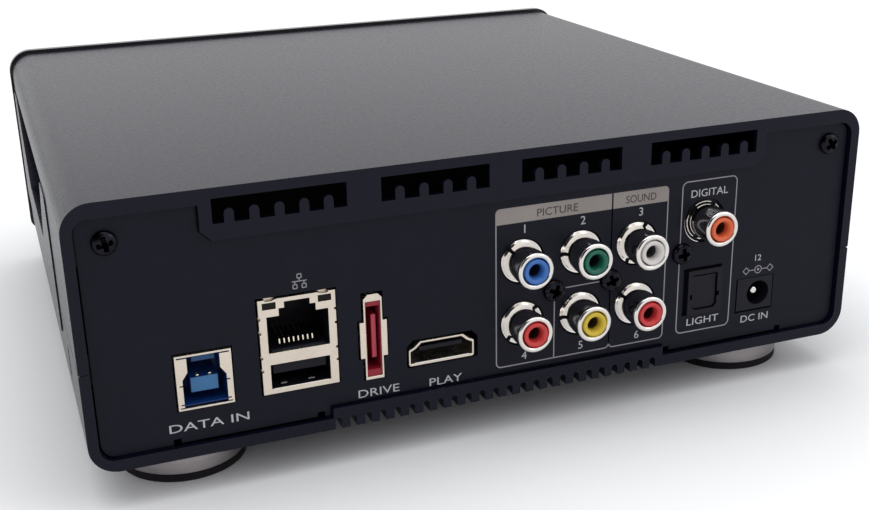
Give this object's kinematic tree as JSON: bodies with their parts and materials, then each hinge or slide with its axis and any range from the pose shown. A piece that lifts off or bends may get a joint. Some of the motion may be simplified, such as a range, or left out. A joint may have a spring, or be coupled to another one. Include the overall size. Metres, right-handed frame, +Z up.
{
  "type": "media player",
  "caption": "Compact black media player with a pull-out hard drive tray in its side, a castellated rear panel of sockets, a front display window and round feet.",
  "frame": {"origin": "on the ground under the middle of the part's bounding box, between its feet", "axes": "+Z up, the front face looks along -Y, the connectors face +Y, the drive tray slides out along +X"},
  "size_m": [0.1814, 0.1732, 0.066],
  "materials": {
    "case_black": "satin",
    "panel_black": "satin",
    "front_black": "gloss",
    "window_smoke": "gloss",
    "display_glass": "gloss",
    "board_green": "satin",
    "chip_black": "matte",
    "sink_aluminium": "satin",
    "capacitor_sleeve": "gloss",
    "port_steel": "satin",
    "port_black": "satin",
    "port_blue": "satin",
    "port_red": "satin",
    "jack_chrome": "polished",
    "insert_blue": "gloss",
    "insert_red": "gloss",
    "insert_green": "gloss",
    "insert_yellow": "gloss",
    "insert_white": "gloss",
    "insert_orange": "gloss",
    "foot_metal": "satin",
    "foot_rubber": "matte",
    "screw_steel": "satin",
    "screw_black": "satin",
    "bay_black": "satin"
  },
  "bodies": {
    "case": {"top_shell": "case_black", "bottom_shell": "case_black", "rear_panel": "panel_black", "front_bezel": "front_black", "display_window": "window_smoke", "display_module": "display_glass", "front_board": "board_green", "power_switch": "chip_black", "main_board": "board_green", "processor": "chip_black", "heat_sink": "sink_aluminium", "memory_chips": "chip_black", "capacitors": "capacitor_sleeve", "data_port_shell": "port_steel", "data_port_core": "port_blue", "network_port_shell": "port_steel", "network_port_core": "port_black", "drive_port_shell": "port_steel", "drive_port_core": "port_red", "av_port_shell": "port_steel", "av_port_core": "port_black", "jack_block": "port_black", "digital_jack_housing": "port_black", "optical_jack": "port_black", "power_jack": "port_black", "power_jack_pin": "jack_chrome", "rear_screws": "screw_black", "board_screws": "screw_steel", "foot_screws": "screw_steel", "drive_bay": "bay_black", "backplane_board": "board_green", "drive_connector": "port_black", "video_blue_sleeve": "jack_chrome", "video_blue_insert": "insert_blue", "video_red_sleeve": "jack_chrome", "video_red_insert": "insert_red", "video_green_sleeve": "jack_chrome", "video_green_insert": "insert_green", "video_yellow_sleeve": "jack_chrome", "video_yellow_insert": "insert_yellow", "audio_white_sleeve": "jack_chrome", "audio_white_insert": "insert_white", "audio_red_sleeve": "jack_chrome", "audio_red_insert": "insert_red", "digital_orange_sleeve": "jack_chrome", "digital_orange_insert": "insert_orange", "foot_cup_rear_left": "foot_metal", "foot_pad_rear_left": "foot_rubber", "foot_cup_front_left": "foot_metal", "foot_pad_front_left": "foot_rubber", "foot_cup_rear_right": "foot_metal", "foot_pad_rear_right": "foot_rubber", "foot_cup_front_right": "foot_metal", "foot_pad_front_right": "foot_rubber"},
    "tray": {"tray_carrier": "bay_black", "tray_face": "case_black", "tray_screws": "screw_steel"},
    "power_button": {"power_button": "front_black"},
    "optical_shutter": {"optical_shutter": "port_black"}
  },
  "joints": [
    {"name": "tray_slide", "type": "slide", "parent": "case", "child": "tray", "axis": [1, 0, 0], "range_m": [0, 0.14]},
    {"name": "power_button_press", "type": "slide", "parent": "case", "child": "power_button", "axis": [0, 1, 0], "range_m": [0, 0.0006], "stiffness_N_per_m": 500, "springref_m": -0.001},
    {"name": "optical_shutter_hinge", "type": "hinge", "parent": "case", "child": "optical_shutter", "pos_m": [-0.0508, 0.07855, 0.02885], "axis": [-1, 0, 0], "range_deg": [0, 80], "stiffness_Nm_per_rad": 0.00002, "springref_deg": -11.46}
  ]
}
